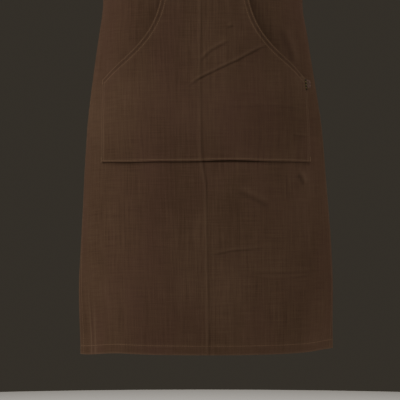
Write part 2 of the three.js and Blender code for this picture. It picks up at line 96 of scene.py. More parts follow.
# %% [markdown]
# The apron's sizes repeat those of the CAD model, in millimetres. Only the pocket's shoulder,
# how far the pocket stands off the skirt and the flare of the right corner differ a little.
# Heights are measured up from the hem, and "across" is measured round the cloth from its
# middle, with the left side negative.

# %% Sizes of the cloth
CANVAS = 0.9
GAP = 0.3  # clearance between neighbours
LAYER = CANVAS + 0.45  # from the middle of one layer to the middle of the next
SKIRT_LENGTH, HALF_SKIRT = 640, 300
BIB_LENGTH, HALF_BIB = 260, 125
BIB_TOP = SKIRT_LENGTH + BIB_LENGTH
HEM_Z = -(BIB_TOP + 205)
BOTTOM_HEM, SIDE_HEM, BIB_HEM, FACING = 18, 16, 20, 11
POCKET_FOOT, POCKET_TOP, POCKET_SHOULDER = 340, 655, 488
POCKET_HALF, POCKET_TOP_HALF, POCKET_SHIFT = 203, 76, 3
SCOOP_POWER = 2.6
POCKET_PUFF, POCKET_FADE = 6, 58
ARMHOLE_POWER = 2.2
WALK_STEPS, TURN_POWER = 24, 1.5
FLARE_FROM = 0.74  # share of the half width where an edge begins to flare
LEFT_DROP = 11  # how far the left corner hangs below the line of the hem

# Values by height above the hem.
FRONT_LINE = [(0, -216), (300, -220), (500, -218), (640, -205), (760, -198), (840, -196),
              (900, -196)]
EDGE_TURN = [(0, 83), (120, 81), (200, 83), (300, 87), (400, 92), (465, 97.5), (570, 110.5),
             (640, 118), (780, 96), (900, 80)]
FLARE_LEFT = [(0, 34), (110, 24), (220, 0), (900, 0)]
FLARE_RIGHT = [(0, 32), (45, 9), (110, 0), (900, 0)]
CENTRE_LINE = [(0, 3.5), (340, 0), (640, -3.5), (900, 0)]


# %% [markdown]
# A hanging apron is one flat cloth that turns round the body. Each point is found by walking
# across the cloth from its middle while it turns, slowly at the front and faster towards the
# edges. The length walked is the cloth's real width, so the canvas is never stretched.

# %% The drape
def smooth_step(x):
    t = np.clip(x, 0, 1)
    return t * t * (3 - 2 * t)


def bell(x, width):
    return np.exp(-((x / width) ** 2))


def at_height(stations, height):
    """A smooth curve through (height, value) stations, level at both ends."""
    h, v = (np.array(column, float) for column in zip(*stations))
    slope = np.zeros(len(h))
    slope[1:-1] = (v[2:] - v[:-2]) / (h[2:] - h[:-2])
    x = np.clip(height, h[0], h[-1])
    i = np.clip(np.searchsorted(h, x, side="left") - 1, 0, len(h) - 2)
    span = h[i + 1] - h[i]
    t = (x - h[i]) / span
    return ((2 * t**3 - 3 * t**2 + 1) * v[i] + (t**3 - 2 * t**2 + t) * span * slope[i]
            + (3 * t**2 - 2 * t**3) * v[i + 1] + (t**3 - t**2) * span * slope[i + 1])


def cloth_point(across, height):
    """Points of the cloth's middle surface, as an array of x, y, z."""
    across, height = np.broadcast_arrays(np.asarray(across, float), np.asarray(height, float))
    side = np.where(across < 0, -1.0, 1.0)
    distance = np.abs(across)
    flare = np.where(side < 0, at_height(FLARE_LEFT, height), at_height(FLARE_RIGHT, height))
    edge = at_height(EDGE_TURN, height) + flare / 3
    x, y = np.zeros((2, *across.shape))
    step = distance / WALK_STEPS
    for k in range(WALK_STEPS):
        share = (k + 0.5) * step / HALF_SKIRT
        turned = np.radians(edge * share**TURN_POWER
                            - flare * smooth_step((share - FLARE_FROM) / (1 - FLARE_FROM)))
        x += np.cos(turned) * step
        y += np.sin(turned) * step
    left = np.where(side < 0, smooth_step(2 * distance / HALF_SKIRT - 1), 0)
    drop = LEFT_DROP * left * (1 - smooth_step(height / SKIRT_LENGTH))
    return np.stack([at_height(CENTRE_LINE, height) + side * x,
                     at_height(FRONT_LINE, height) + y, HEM_Z + height - drop], axis=-1)


def unit(v):
    return v / np.maximum(np.linalg.norm(v, axis=-1, keepdims=True), 1e-9)


def cloth_normal(across, height, probe=0.5):
    right = cloth_point(across + probe, height) - cloth_point(across - probe, height)
    up = cloth_point(across, height + probe) - cloth_point(across, height - probe)
    return unit(np.cross(right, up))


def half_width(height):
    share = np.maximum(0, BIB_TOP - height) / BIB_LENGTH
    bib = HALF_BIB + (HALF_SKIRT - HALF_BIB) * share**ARMHOLE_POWER
    return np.where(height <= SKIRT_LENGTH, HALF_SKIRT, bib)


def half_pocket(height):
    share = np.clip((POCKET_TOP - height) / (POCKET_TOP - POCKET_SHOULDER), 0, 1)
    return POCKET_TOP_HALF + (POCKET_HALF - POCKET_TOP_HALF) * share**SCOOP_POWER


def pocket_lift(across, height):
    foot = smooth_step((height - POCKET_FOOT) / POCKET_FADE)
    top = smooth_step((POCKET_TOP - height) / POCKET_FADE)
    side = smooth_step((POCKET_HALF - np.abs(across - POCKET_SHIFT)) / POCKET_FADE)
    return 2 * LAYER + POCKET_PUFF * foot * top * side


print("width at the hem", round(float(np.ptp(cloth_point([-300, 300], 0)[:, 0])), 1), "mm")


# %% [markdown]
# Real canvas is never quite smooth. It keeps the sharp line it was folded along for storage,
# a few creases where it was packed, slack that ripples towards the hem, and puckers in its
# hems. One function adds them up, so that every layer of the apron takes the same shape and
# none cuts another.

# %% Creases, ripples and puckers
def run_along(points):
    """The distance along a line of points, from 0 at the first."""
    return np.concatenate([[0], np.cumsum(np.linalg.norm(np.diff(points, axis=0), axis=1))])


def sample(table, run, place):
    """Rows of a table at places along its run."""
    return np.stack([np.interp(place, run, column) for column in table.T], axis=1)


def line_distance(across, height, line):
    """Signed distance to a line (positive above or right of it), and the share along it."""
    line = np.array(line, float)
    before = run_along(line)
    lengths = np.diff(before)
    best = np.full(across.shape, 1e9)
    signed, share = np.zeros((2, *across.shape))
    for k, ((x0, h0), (x1, h1)) in enumerate(zip(line[:-1], line[1:])):
        dx, dh = (x1 - x0) / lengths[k], (h1 - h0) / lengths[k]
        along = np.clip((across - x0) * dx + (height - h0) * dh, 0, lengths[k])
        off = np.hypot(across - x0 - along * dx, height - h0 - along * dh)
        sign = np.where((height - h0) * dx - (across - x0) * dh >= 0, 1.0, -1.0)
        near = off < best
        best = np.where(near, off, best)
        signed = np.where(near, sign * off, signed)
        share = np.where(near, (before[k] + along) / before[-1], share)
    return signed, share


# line of (across, height), rise of its ridge, width, and how one-sided it is
CREASES = [
    ([(-34, 466), (-9, 484), (27, 502), (57, 516), (89, 534), (118, 548)], 1.4, 3.0, 1.0),
    ([(-8, 513), (12, 533), (46, 552)], 0.9, 4.0, 0.8),
    ([(7, 177), (52, 185), (107, 189)], 0.9, 3.0, 0.7),
    ([(156, 388), (200, 386)], 0.8, 3.0, 0.8),
    ([(36, 437), (100, 439), (176, 437)], 0.35, 4.0, 0.5),
    ([(60, 147), (130, 145), (215, 147)], 0.4, 4.0, 0.5),
    ([(80, 136), (150, 135), (200, 137)], 0.3, 4.0, 0.5),
    ([(56, 291), (84, 279), (116, 262)], 0.8, 7.0, 0.6),
    ([(150, 582), (166, 548), (181, 512)], 0.8, 13.0, 1.0),
    ([(178, 322), (192, 300)], 1.6, 8.0, 0.6),
    ([(40, 574), (52, 578)], 0.8, 4.0, 0.5),
]
FOLD_LINE = [(2, 0), (1, 200), (0, 300), (-7, 350), (-7, 440), (-5, 620), (-4, 900)]
FOLD_RISE, FOLD_WIDTH, FOLD_LOPSIDED = 0.38, 3.2, 0.9
CREASE_ENDS = 0.22  # share of a crease over which each end dies away

# rise, wavelength, seed and upward stretch of the unevenness of the whole cloth
RIPPLES = [(1.9, 150, 1, 5), (0.7, 62, 2, 2.2), (0.22, 22, 3, 1.3)]
SLACK_BELOW, SLACK_LEAST = 420, 0.35  # the widest ripples grow below this height
# rise, middle of the band, reach of the band, wavelength and seed of the puckers in a hem
HEM_PUCKERS, SIDE_PUCKERS = (0.4, 15, 9, 13, 4), (0.3, 288, 8, 15, 5)


def ripple(across, height, wavelength, seed, stretch=2.5):
    """Smooth unevenness with about that wavelength, longer up the cloth than across it."""
    total = np.zeros(np.broadcast(across, height).shape)
    for k in range(6):
        angle = 0.9 * math.sin(seed * 3.7 + k * 2.1)
        scale = 2 * math.pi / (wavelength * (0.75 + 0.13 * k))
        phase = math.sin(seed * 12.9 + k * 78.2) * 43.7
        way = across * math.cos(angle) + height * math.sin(angle) / stretch
        total += np.sin(scale * way + phase)
    return total / 6


def relief(across, height):
    """How far the cloth's surface stands out of the smooth drape."""
    across, height = np.broadcast_arrays(np.asarray(across, float), np.asarray(height, float))
    out = np.zeros(across.shape)
    for line, rise, width, lopsided in CREASES:
        off, share = line_distance(across, height, line)
        ends = smooth_step(share / CREASE_ENDS) * smooth_step((1 - share) / CREASE_ENDS)
        out += rise * ends * bell(off, width) * (1 - lopsided + lopsided * 1.6 * off / width)
    off, _ = line_distance(across, height, FOLD_LINE)
    out += FOLD_RISE * bell(off, FOLD_WIDTH) * (1 + FOLD_LOPSIDED * off / FOLD_WIDTH)
    slack = SLACK_LEAST + (1 - SLACK_LEAST) * smooth_step((SLACK_BELOW - height) / SLACK_BELOW)
    for share, (rise, wavelength, seed, stretch) in zip((slack, 1, 1), RIPPLES):
        out += rise * share * ripple(across, height, wavelength, seed, stretch)
    rise, middle, reach, wavelength, seed = HEM_PUCKERS
    out += rise * bell(height - middle, reach) * ripple(across, height, wavelength, seed)
    rise, middle, reach, wavelength, seed = SIDE_PUCKERS
    out += (rise * bell(np.abs(across) - middle, reach) * (height < SKIRT_LENGTH)
            * ripple(height, across, wavelength, seed))
    return out


def surface(across, height, lift, out=0.0):
    """Points of a layer, with their normals. The lift from the cloth's middle is a number or a
    function of across and height, and out is added to it."""
    level = (lift(across, height) if callable(lift) else lift) + out + relief(across, height)
    normal = cloth_normal(across, height)
    return cloth_point(across, height) + normal * level[..., None], normal


print("creases", len(CREASES))


# %% [markdown]
# Each finish is a network of shader nodes. A small class wraps a socket and lets ordinary
# arithmetic add the Math nodes, and every other node comes from one method.

# %% A small language for finishes
class Value:
    """A node's output that can take part in arithmetic."""

    def __init__(self, finish, socket):
        self.finish, self.socket = finish, socket

    def math(self, operation, *terms):
        return self.finish.node("ShaderNodeMath", {"operation": operation}, dict(enumerate(terms)))

    def __add__(self, other): return self.math("ADD", self, other)
    def __radd__(self, other): return self.math("ADD", other, self)
    def __sub__(self, other): return self.math("SUBTRACT", self, other)
    def __rsub__(self, other): return self.math("SUBTRACT", other, self)
    def __mul__(self, other): return self.math("MULTIPLY", self, other)
    def __rmul__(self, other): return self.math("MULTIPLY", other, self)
    def sine(self): return self.math("SINE", self)
    def absolute(self): return self.math("ABSOLUTE", self)
    def clamped(self): return self.math("MINIMUM", self.math("MAXIMUM", self, 0.0), 1.0)


class Finish:
    """A material under construction."""

    def __init__(self, name):
        self.material = bpy.data.materials.new(name)
        self.material.use_nodes = True
        self.nodes = self.material.node_tree.nodes
        self.links = self.material.node_tree.links
        self.shader = self.nodes["Principled BSDF"]

    def node(self, kind, settings=None, sockets=None, output=0):
        made = self.nodes.new(kind)
        for key, value in (settings or {}).items():
            setattr(made, key, value)
        for key, value in (sockets or {}).items():
            self.feed(made.inputs[key], value)
        return Value(self, made.outputs[output])

    def feed(self, socket, value):
        if isinstance(value, Value):
            self.links.new(value.socket, socket)
        else:
            socket.default_value = value

    def mix(self, share, first, second):
        colour = [(*c, 1) if isinstance(c, tuple) else c for c in (first, second)]
        return self.node("ShaderNodeMix", {"data_type": "RGBA"},
                         {0: share, 6: colour[0], 7: colour[1]}, output=2)

    def uv(self, name="cloth"):
        """Both values of a UV map: metres across and along the cloth, or its fading and shade."""
        place = self.node("ShaderNodeUVMap", {"uv_map": name})
        parts = self.node("ShaderNodeSeparateXYZ", {}, {0: place})
        return parts, Value(self, parts.socket.node.outputs[1])

    def noise(self, x, y, detail=2.0):
        vector = self.node("ShaderNodeCombineXYZ", {}, {0: x, 1: y})
        return self.node("ShaderNodeTexNoise", {"noise_dimensions": "2D"},
                         {"Vector": vector, "Scale": 1.0, "Detail": detail})

    def object_noise(self, scale, detail):
        """Noise on the Object coordinates, for pieces without a UV map."""
        place = self.node("ShaderNodeTexCoord", output=3)
        return self.node("ShaderNodeTexNoise", {},
                         {"Vector": place, "Scale": scale, "Detail": detail})

    def rib(self, along, pitch):
        """A wave from 0 to 1 with that pitch in metres."""
        return (along * (2 * math.pi / pitch)).sine() * 0.5 + 0.5

    def done(self, colour, roughness, relief, depth, strength, **constants):
        """Feed the shader. The relief is a bump of that depth in metres."""
        bump = self.node("ShaderNodeBump", {},
                         {"Height": relief, "Distance": depth, "Strength": strength})
        looks = {"Base Color": colour, "Roughness": roughness, "Normal": bump}
        for name, value in {**looks, **constants}.items():
            self.feed(self.shader.inputs[name.replace("_", " ")], value)
        return self.material


# %% [markdown]
# Canvas is a plain weave of thick cotton yarn. Its yarn is uneven, so thicker stretches, called
# slubs, show as fine streaks, both up the cloth and across it. The dye fades first where the
# cloth is folded and stitched. The streaks are noise that is stretched along the yarn. A second
# UV map that each piece carries holds the fading and a painted shade, which darkens the colour
# in lines where shadow would fall. Cotton doesn't shine, so the surface has no gloss of its own.

# %% Canvas
YARN_PITCH, PICK_RATIO = 0.00115, 0.8  # metres for one wave of the weave, and the weft's share
BLUSH_TINT = (0.84, 0.73, 0.86)  # the redder patches, against the light colour
SHADE_DEPTH = 0.25  # a shaded line, against the dark colour


def canvas_finish(name, dark, light, worn, warp=1.0):
    finish = Finish(name)
    u, v = finish.uv()
    wear, shade = finish.uv("tone")
    fine = finish.noise(u * 620, v * 22)
    slub = finish.noise(u * 270 + 7.3, v * 7, detail=3.0)
    weft = finish.noise(u * 20 + 11.0, v * 560)
    thick = finish.noise(u * 9 + 2.6, v * 240, detail=3.0)
    cloud = finish.noise(u * 8 + 4.2, v * 7 + 9.4, detail=4.0)
    blush = finish.noise(u * 9 + 1.3, v * 4 + 5.9, detail=3.0)
    tone = (0.5 + (fine - 0.5) * (0.8 * warp) + (slub - 0.5) * (0.6 * warp)
            + (weft - 0.5) * 0.6 + (thick - 0.5) * 0.15 + (cloud - 0.5) * 0.9)
    colour = finish.mix(tone.clamped(), dark, light)
    colour = finish.mix(((blush - 0.4) * 2.4).clamped() * 0.5, colour,
                        tuple(c * g for c, g in zip(light, BLUSH_TINT)))
    colour = finish.mix((wear * (0.35 + fine * 0.6)).clamped(), colour, worn)
    # Painted shade: the tone map's second value darkens the colour towards a deeper brown.
    colour = finish.mix((shade * 0.85).clamped(), colour, tuple(c * SHADE_DEPTH for c in dark))
    yarn = 2 * math.pi / YARN_PITCH
    weave = (u * yarn).sine() * (v * yarn * PICK_RATIO).sine()
    height = weave * 0.45 + fine * 0.5 + slub * 0.5 + weft * 0.5 + thick * 0.2
    return finish.done(colour, (0.86 + (cloud - 0.5) * 0.12).clamped(), height, 0.00035, 0.8,
                       Specular_IOR_Level=0.0)


CANVAS_DARK, CANVAS_LIGHT = (0.076, 0.0465, 0.0310), (0.128, 0.082, 0.0565)
canvas = canvas_finish("brown_canvas", CANVAS_DARK, CANVAS_LIGHT, (0.21, 0.142, 0.100))
facing_cloth = canvas_finish("facing_canvas", (0.052, 0.031, 0.020), (0.088, 0.055, 0.036),
                             (0.14, 0.092, 0.062), warp=0.8)
print("canvas ready")

# %% [markdown]
# The neck strap is woven webbing: ribs run across it and its edges are closed by a tighter
# selvedge. Sewing thread is twisted, so its colour and its gloss vary along it. The blank label
# and the tab are ribbed tape, and the fittings are brass that has dulled unevenly.

# %% Webbing, thread, tape and brass
SOFT_GLOSS = 0.05
SELVEDGE_FROM = 0.0102  # metres from the middle of the webbing


def webbing_finish():
    finish = Finish("brown_webbing")
    u, v = finish.uv()
    rib = finish.rib(v, 0.0016)
    chevron = finish.rib(v + u.absolute() * 0.9, 0.0042)
    fleck = finish.noise(u * 700, v * 300)
    edge = ((u.absolute() - SELVEDGE_FROM) * 900).clamped()
    tone = (rib * 0.35 + chevron * 0.35 + fleck * 0.45).clamped()
    colour = finish.mix(tone, (0.048, 0.029, 0.018), (0.112, 0.07, 0.045))
    colour = finish.mix(edge * 0.5, colour, (0.14, 0.09, 0.058))
    return finish.done(colour, 0.82 + fleck * 0.1, rib * 0.6 + chevron * 0.5 + fleck * 0.3, 0.0004,
                       0.8, Specular_IOR_Level=SOFT_GLOSS)


def thread_finish(name, dark, light):
    finish = Finish(name)
    twist = finish.object_noise(900.0, 2.0)
    return finish.done(finish.mix(twist, dark, light), 0.5 + twist * 0.3, twist, 0.0001, 0.6,
                       Specular_IOR_Level=SOFT_GLOSS)


def tape_finish(name, dark, light, speckle):
    finish = Finish(name)
    u, v = finish.uv()
    rib = finish.rib(v, 0.0007)
    age = finish.noise(u * speckle, v * speckle, detail=4.0)
    tone = (rib * 0.25 + (age - 0.5) * 3.0 + 0.2).clamped()
    return finish.done(finish.mix(tone, dark, light), 0.7 + age * 0.2, rib, 0.0001, 0.5,
                       Specular_IOR_Level=SOFT_GLOSS)


def brass_finish():
    finish = Finish("aged_brass")
    dull, scratch = finish.object_noise(160.0, 4.0), finish.object_noise(1400.0, 2.0)
    colour = finish.mix(dull, (0.30, 0.19, 0.075), (0.52, 0.37, 0.17))
    return finish.done(colour, 0.24 + dull * 0.25, scratch, 0.00005, 0.3, Metallic=1.0)


webbing = webbing_finish()
tan_thread = thread_finish("tan_thread", (0.15, 0.098, 0.062), (0.26, 0.175, 0.115))
black_thread = thread_finish("black_thread", (0.004, 0.004, 0.004), (0.012, 0.012, 0.011))
lime_thread = thread_finish("lime_thread", (0.27, 0.26, 0.09), (0.44, 0.42, 0.17))
label_tape = tape_finish("blank_tape", (0.44, 0.39, 0.30), (0.62, 0.57, 0.46), 90)
tab_cloth = tape_finish("tab_tape", (0.040, 0.022, 0.017), (0.27, 0.185, 0.155), 480)
brass = brass_finish()
print("materials", len(bpy.data.materials))

# %% [markdown]
# Every cloth in the apron is the same kind of thing: a grid of points with a thickness. One
# helper makes it. The grid is the middle of the cloth, the Solidify modifier gives it both of
# its faces, and the UV map holds real metres so that the weave is the same size on every piece.

# %% Making a cloth from a grid
def deselect():
    for picked in list(bpy.context.selected_objects):
        picked.select_set(False)


def apply_modifiers(thing):
    deselect()
    thing.select_set(True)
    bpy.context.view_layer.objects.active = thing
    for modifier in list(thing.modifiers):
        bpy.ops.object.modifier_apply(modifier=modifier.name)


def set_uv(mesh, name, values):
    """Fill a UV map, which is made if it is missing, from a pair of values for each vertex."""
    corner = np.empty(len(mesh.loops), dtype=np.int32)
    mesh.loops.foreach_get("vertex_index", corner)
    layer = mesh.uv_layers.get(name) or mesh.uv_layers.new(name=name)
    layer.data.foreach_set("uv", values.reshape(-1, 2)[corner].astype(np.float32).ravel())


def cloth_piece(name, points, uv, tone, thickness, material):
    """A closed cloth from arrays of rows by columns: points in millimetres, uv in millimetres."""
    rows, columns = points.shape[:2]
    at = np.arange(rows * columns).reshape(rows, columns)
    faces = np.stack([at[:-1, :-1], at[:-1, 1:], at[1:, 1:], at[1:, :-1]], axis=-1).reshape(-1, 4)
    mesh = bpy.data.meshes.new(name)
    mesh.from_pydata((points.reshape(-1, 3) * MM).tolist(), [], faces.tolist())
    set_uv(mesh, "cloth", uv * MM)
    set_uv(mesh, "tone", tone)
    piece = add_object(name, mesh)
    mesh.materials.append(material)
    solidify = piece.modifiers.new("thickness", "SOLIDIFY")
    solidify.thickness, solidify.offset = thickness * MM, 0
    apply_modifiers(piece)
    bpy.ops.object.shade_smooth_by_angle(angle=math.radians(50))
    return piece


def settle(piece, *nodes, body=ROOT):
    """The piece rides on a body and stands for those CAD nodes."""
    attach(piece, body)
    if nodes:
        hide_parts(*nodes)
    return piece


def marks(low, high, step, *dense):
    """Marks about a step apart, and a finer step apart inside each dense (low, high, step)."""
    found = set(np.linspace(low, high, max(2, int(round((high - low) / step)) + 1)).tolist())
    for start, end, finer in dense:
        inside = np.arange(max(low, start), min(high, end), finer)
        found = {m for m in found
                 if not start - finer / 2 < m < end + finer / 2 or m in (low, high)}
        found |= set(inside.tolist())
    return np.array(sorted(found))


print("helpers ready")

# %% [markdown]
# Cloth changes colour along its seams. The layers underneath push a seam up, so it rubs and
# fades. Shade is painted as well: a thin dark line below the edge of an upper layer, where it
# would cast a shadow, and dark lines along the valleys of the creases. The first value of the
# tone map is the fading, and the second is the painted shade.

# %% Seams, their fading and painted shade
def inset_line(edge, heights, inward, sign, middle=0):
    """Points (across, height) at a distance inside a curved edge, of a piece with that middle."""
    h = np.asarray(heights, float)
    slope = edge(h + 0.5) - edge(h - 0.5)
    length = np.hypot(1, slope)
    across = middle + sign * (edge(h) - inward / length)
    return np.stack([across, h + inward * slope / length], axis=1)


def straight(x0, h0, x1, h1):
    return np.array([(x0, h0), (x1, h1)], float)


def foot_wave(across):
    """How far the pocket's bottom edge waves up from a level line."""
    x = np.asarray(across)
    return 1.1 * np.sin((x + 30) / 52) + 0.5 * np.sin((x - 12) / 21)


def on_pocket(x0, h0, x1, h1):
    return straight(POCKET_SHIFT + x0, h0, POCKET_SHIFT + x1, h1)


SIGNS = {"left": -1, "right": 1}
arm_heights = np.linspace(SKIRT_LENGTH + 4, BIB_TOP - 3, 24)
scoop_heights = np.linspace(POCKET_SHOULDER + 1, POCKET_TOP - 3, 24)


def opening_line(inward, sign, heights=scoop_heights):
    return inset_line(half_pocket, heights, inward, sign, POCKET_SHIFT)


# how far inside its edge each row of stitches runs
HEM_INSET, BIB_INSET, SIDE_INSET, FOOT_INSET = 16, 17, 14, 3.2
TOP_INSETS, ARMHOLE_INSETS, OPENING_INSETS = (2.5, 9), (2.5, 9), (2, 9.5)
BACKSTITCH_INSETS, BACKSTITCH_HEIGHTS = (1.0, 3.4, 4.9, 6.4), (486, 497)

BODY_SEAMS = {"hem": [straight(-298, HEM_INSET, 298, HEM_INSET)],
              "bib_hem": [straight(-121, BIB_TOP - BIB_INSET, 121, BIB_TOP - BIB_INSET)]}
foot_seam = POCKET_SHIFT + np.linspace(2 - POCKET_HALF, POCKET_HALF - 2, 60)
foot_rise = POCKET_FOOT + FOOT_INSET + foot_wave(foot_seam)
POCKET_SEAMS = {"foot": [np.stack([foot_seam, foot_rise], axis=1)],
                "top": [on_pocket(-70, POCKET_TOP - inset, 70, POCKET_TOP - inset)
                        for inset in TOP_INSETS]}
for side, sign in SIGNS.items():
    inner = sign * (HALF_SKIRT - SIDE_INSET)
    BODY_SEAMS[f"side_{side}"] = [straight(inner, 3, inner, SKIRT_LENGTH - 6)]
    BODY_SEAMS[f"armhole_{side}"] = [inset_line(half_width, arm_heights, inset, sign)
                                     for inset in ARMHOLE_INSETS]
    POCKET_SEAMS[f"side_{side}"] = [
        on_pocket(sign * (POCKET_HALF - inset), POCKET_FOOT + foot,
                  sign * (POCKET_HALF - inset), POCKET_SHOULDER - top)
        for inset, foot, top in ((2, 2, 0), (7.5, 4, 4))]
    POCKET_SEAMS[f"opening_{side}"] = [opening_line(inset, sign) for inset in OPENING_INSETS]
POCKET_SEAMS["backstitch"] = [opening_line(inset, 1, np.linspace(*BACKSTITCH_HEIGHTS, 6))
                              for inset in BACKSTITCH_INSETS]
PRESS_LINES = [[(x, 0), (x, 150)] for x in (-256, -238)]


def near_line(across, height, line, reach):
    """1 on a line, dying away on both sides of it."""
    return bell(line_distance(across, height, line)[0], reach)


def fading(across, height, seams, reach):
    wear = np.zeros(np.broadcast(across, height).shape)
    for line in (line for lines in seams.values() for line in lines):
        wear = np.maximum(wear, near_line(across, height, line, reach))
    return wear


def crease_tone(across, height):
    """Creases fade along their ridge and get painted shade along their valley. The fold line does
    the same, and a faint painted shade darkens the middle of the cloth.
    """
    wear, shade = np.zeros((2, *np.broadcast(across, height).shape))
    for line, rise, width, _ in CREASES:
        off, share = line_distance(across, height, line)
        ends = smooth_step(share / 0.2) * smooth_step((1 - share) / 0.2) * min(1, rise / 1.5)
        wear += 0.35 * ends * bell(off - 0.7 * width, 0.7 * width)
        # painted shade along the crease's valley
        shade += 0.45 * ends * bell(off + 0.5 * width, 0.55 * width)
    off, _ = line_distance(across, height, FOLD_LINE)
    wear += 0.24 * bell(off - 1.2, 2.4)
    # painted shade beside the fold, and a faint painted shade over the middle of the cloth
    shade += 0.22 * bell(off + 2.2, 2.0) + 0.09 * bell(across, 120)
    return wear, shade


def tone_map(wear, shade):
    return np.stack([np.clip(wear, 0, 1), np.clip(shade, 0, 1)], axis=-1)


def plain_tone(wear):
    """Even fading with slight patches, as a function of across and height."""
    def tone(across, height):
        patchy = 0.05 * ripple(across, height, 30, 7)
        return tone_map(wear + patchy, np.zeros(patchy.shape))
    return tone


def body_tone(across, height):
    wear, shade = crease_tone(across, height)
    patchy = 0.75 + 0.35 * ripple(across, height, 40, 6)
    wear = np.maximum(wear, 0.22 * patchy * fading(across, height, BODY_SEAMS, 2.2))
    for line in PRESS_LINES:
        off, share = line_distance(across, height, line)
        wear = np.maximum(wear, 0.8 * (1 - smooth_step(share)) * bell(off, 2.6))
    edge = np.minimum(height, half_width(height) - np.abs(across))
    wear = np.maximum(wear, 0.4 * bell(edge, 2.5))
    # Painted shadow: a thin dark line just below the pocket's foot and another just outside each
    # scooped opening, where the pocket's edge would shade the skirt.
    under = np.abs(across - POCKET_SHIFT) < POCKET_HALF - 1
    shade += under * bell(height - (POCKET_FOOT + foot_wave(across)) + 0.8, 2.0)
    for sign in SIGNS.values():
        shade += 0.6 * near_line(across, height, opening_line(-1, sign), 1.3)
    return tone_map(wear, shade)


def pocket_tone(across, height):
    """The pocket's own fading, with painted shade along a line between each opening's rows of
    stitches.
    """
    wear, shade = crease_tone(across, height)
    wear = np.maximum(wear, 0.24 * fading(across, height, POCKET_SEAMS, 1.8))
    grooves = (near_line(across, height, opening_line(5.5, sign), 1.5) for sign in (-1, 1))
    return tone_map(wear, shade + 0.3 * np.maximum(*grooves))


print("seams", len(BODY_SEAMS) + len(POCKET_SEAMS))

# %% [markdown]
# The body of the apron is one canvas cut 600 mm wide and 900 mm long, with a curve taken out of
# each side for the arms. Its columns crowd together at the centre fold and its rows at the
# creases, because a sharp line needs small faces while a soft drape does not.

# %% Body of the apron
def lay(name, across, height, lift, tone, node, out=0.0, material=canvas, slot="canvas",
        thickness=CANVAS):
    """Cloth over arrays (rows by columns) of across and height, which stands for a CAD node."""
    across, height = np.broadcast_arrays(across, height)
    points, _ = surface(across, height, lift, out)
    uv = np.stack([across, height], axis=-1)
    piece = cloth_piece(name, points, uv, tone(across, height), thickness, material)
    return settle(piece, node)


def rows_of(*bands):
    """The marks of several bands, one above the other."""
    return np.unique(np.concatenate([marks(*band) for band in bands]))


body_rows = rows_of((0, SKIRT_LENGTH, 4.6, (0, 24, 2.0), (130, 196, 2.6), (250, 320, 3.4)),
                    (SKIRT_LENGTH, BIB_TOP, 5.4))
body_columns = marks(-1, 1, 1 / 66, (-0.04, 0.04, 1 / 230))
body_across = body_columns[None, :] * half_width(body_rows)[:, None]
body_height = np.broadcast_to(body_rows[:, None], body_across.shape)
body = lay("apron_body", body_across, body_height, 0.0, body_tone, "body_panel")
print("body", body_across.shape, "faces", len(body.data.polygons))

# %% [markdown]
# Each raw edge is hidden: the bottom and the sides are turned back and stitched, which is a
# hem, and the curves at the arms are bound with bias strips, which are facings. These are
# separate layers behind the body. Patches of canvas back the places where the straps pull.

# %% Hems, facings and patches
PLAIN = plain_tone(0.08)
FACED = {"material": facing_cloth, "slot": "facing"}
BACKING = 40  # side of the squares behind the straps
TIE_HEIGHT = SKIRT_LENGTH - 26


def patch(name, node, across_limits, height_limits, step=4.0, **look):
    """A piece behind the body, between limits across and in height."""
    across, height = np.meshgrid(*(np.linspace(low, high, max(3, int((high - low) / step) + 1))
                                   for low, high in (sorted(across_limits), height_limits)))
    return lay(name, across, height, -LAYER, PLAIN, node, **look)


def facing(name, node, edge, heights, sign, lift, out, middle=0):
    reach = FACING * np.hypot(1, edge(heights + 0.5) - edge(heights - 0.5))
    inside = (edge(heights) - reach)[:, None] + reach[:, None] * np.linspace(0, 1, 5)[None, :]
    across = middle + (inside if sign > 0 else -inside[:, ::-1])
    return lay(name, across, heights[:, None], lift, plain_tone(0.15), node, out, **FACED)


trim = [patch("hem_bottom", "bottom_hem", (-HALF_SKIRT, HALF_SKIRT), (0, BOTTOM_HEM), 3.6),
        patch("hem_bib", "bib_top_hem", (-113.4, 113.4), (BIB_TOP - BIB_HEM, BIB_TOP))]
for side, sign in SIGNS.items():
    trim.append(patch(f"hem_{side}", f"side_hem_{side}",
                      (sign * HALF_SKIRT, sign * (HALF_SKIRT - SIDE_HEM)),
                      (BOTTOM_HEM + GAP, SKIRT_LENGTH - FACING)))
    trim.append(facing(f"armhole_binding_{side}", f"armhole_facing_{side}", half_width,
                       np.linspace(SKIRT_LENGTH + FACING, BIB_TOP, 56), sign, -LAYER, -GAP))
    for place, outer, low in (
            ("bib", HALF_BIB - FACING - 2 * GAP, BIB_TOP - BIB_HEM - GAP - BACKING),
            ("waist", HALF_SKIRT - SIDE_HEM - GAP, TIE_HEIGHT - BACKING / 2)):
        trim.append(patch(f"{place}_backing_{side}", f"{place}_patch_{side}",
                          (sign * outer, sign * (outer - BACKING)), (low, low + BACKING), **FACED))
trim.append(patch("blank_label", "care_label", (-283.7, -249.7), (250, 296),
                  material=label_tape, slot="label", thickness=0.45))
print("hems, facings and patches", len(trim))

# %% [markdown]
# The pocket is one wide canvas sewn to the skirt round its foot, sides and top, with its two
# upper corners scooped out for the hands. It stands slightly off the skirt between its seams.
# Its first and last columns follow the scooped edges, so the curve is cut cleanly.

